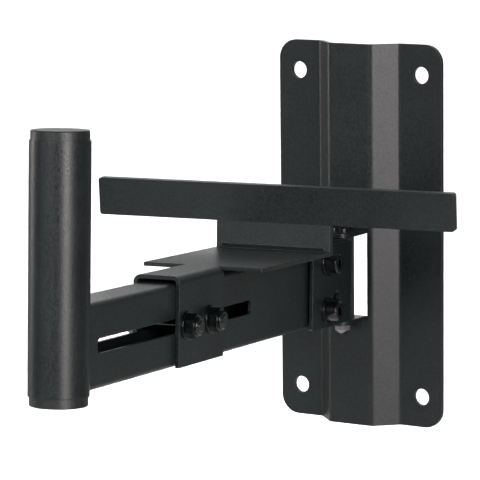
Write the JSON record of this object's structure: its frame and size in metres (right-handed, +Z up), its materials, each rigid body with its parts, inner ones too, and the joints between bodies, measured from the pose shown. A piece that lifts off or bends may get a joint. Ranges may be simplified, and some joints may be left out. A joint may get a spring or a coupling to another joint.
{
  "type": "speaker wall bracket",
  "caption": "Wall bracket for a loudspeaker: folded wall plate, swivelling and tilting slotted arm, upright pole and a sliding T-shaped stop.",
  "frame": {"origin": "centre of the four wall holes, on the back face of the wall plate", "axes": "+Y into the wall, so the arm reaches out towards -Y; +Z up; +X to the right when facing the wall"},
  "size_m": [0.2464, 0.4676, 0.2624],
  "materials": {
    "powder_black": "fine-textured matt black powder coat",
    "black_hardware": "black zinc, satin",
    "zinc": "bright zinc",
    "cap_plastic": "matt black moulded plastic",
    "slip_ring": "black nylon"
  },
  "bodies": {
    "wall": {"wall_plate": "powder_black", "swivel_bolt": "black_hardware", "swivel_nut": "zinc", "swivel_washer_top": "black_hardware", "swivel_washer_low": "black_hardware", "thrust_washer_top": "slip_ring", "thrust_washer_low": "slip_ring"},
    "knuckle": {"swivel_block": "powder_black", "clevis": "powder_black", "pivot_bolt": "black_hardware", "pivot_washer_near": "black_hardware", "pivot_washer_far": "black_hardware", "pivot_nut": "black_hardware"},
    "arm": {"arm_tube": "powder_black", "pole_tube": "powder_black", "pole_cap_top": "cap_plastic", "pole_cap_low": "cap_plastic", "lock_bolt": "black_hardware", "lock_washer_near": "black_hardware", "lock_washer_far": "black_hardware", "lock_nut": "black_hardware"},
    "stop": {"stop_saddle": "powder_black", "stop_bar": "powder_black", "clamp_inner_bolt": "black_hardware", "clamp_inner_washer_far": "black_hardware", "clamp_inner_washer_near": "black_hardware", "clamp_inner_nut": "black_hardware", "clamp_outer_bolt": "black_hardware", "clamp_outer_washer_far": "black_hardware", "clamp_outer_washer_near": "black_hardware", "clamp_outer_nut": "black_hardware"}
  },
  "joints": [
    {"name": "swivel", "type": "hinge", "parent": "wall", "child": "knuckle", "pos_m": [0, -0.0277, -0.0273], "axis": [0, 0, 1], "range_deg": [-48.5, 31.5]},
    {"name": "tilt", "type": "hinge", "parent": "knuckle", "child": "arm", "pos_m": [0.01021, -0.096, -0.00647], "axis": [0.989, 0.1478, 0], "range_deg": [0, 36]},
    {"name": "stop_slide", "type": "slide", "parent": "arm", "child": "stop", "axis": [0.1476, -0.9875, 0.055], "range_m": [-0.02, 0.107]}
  ]
}
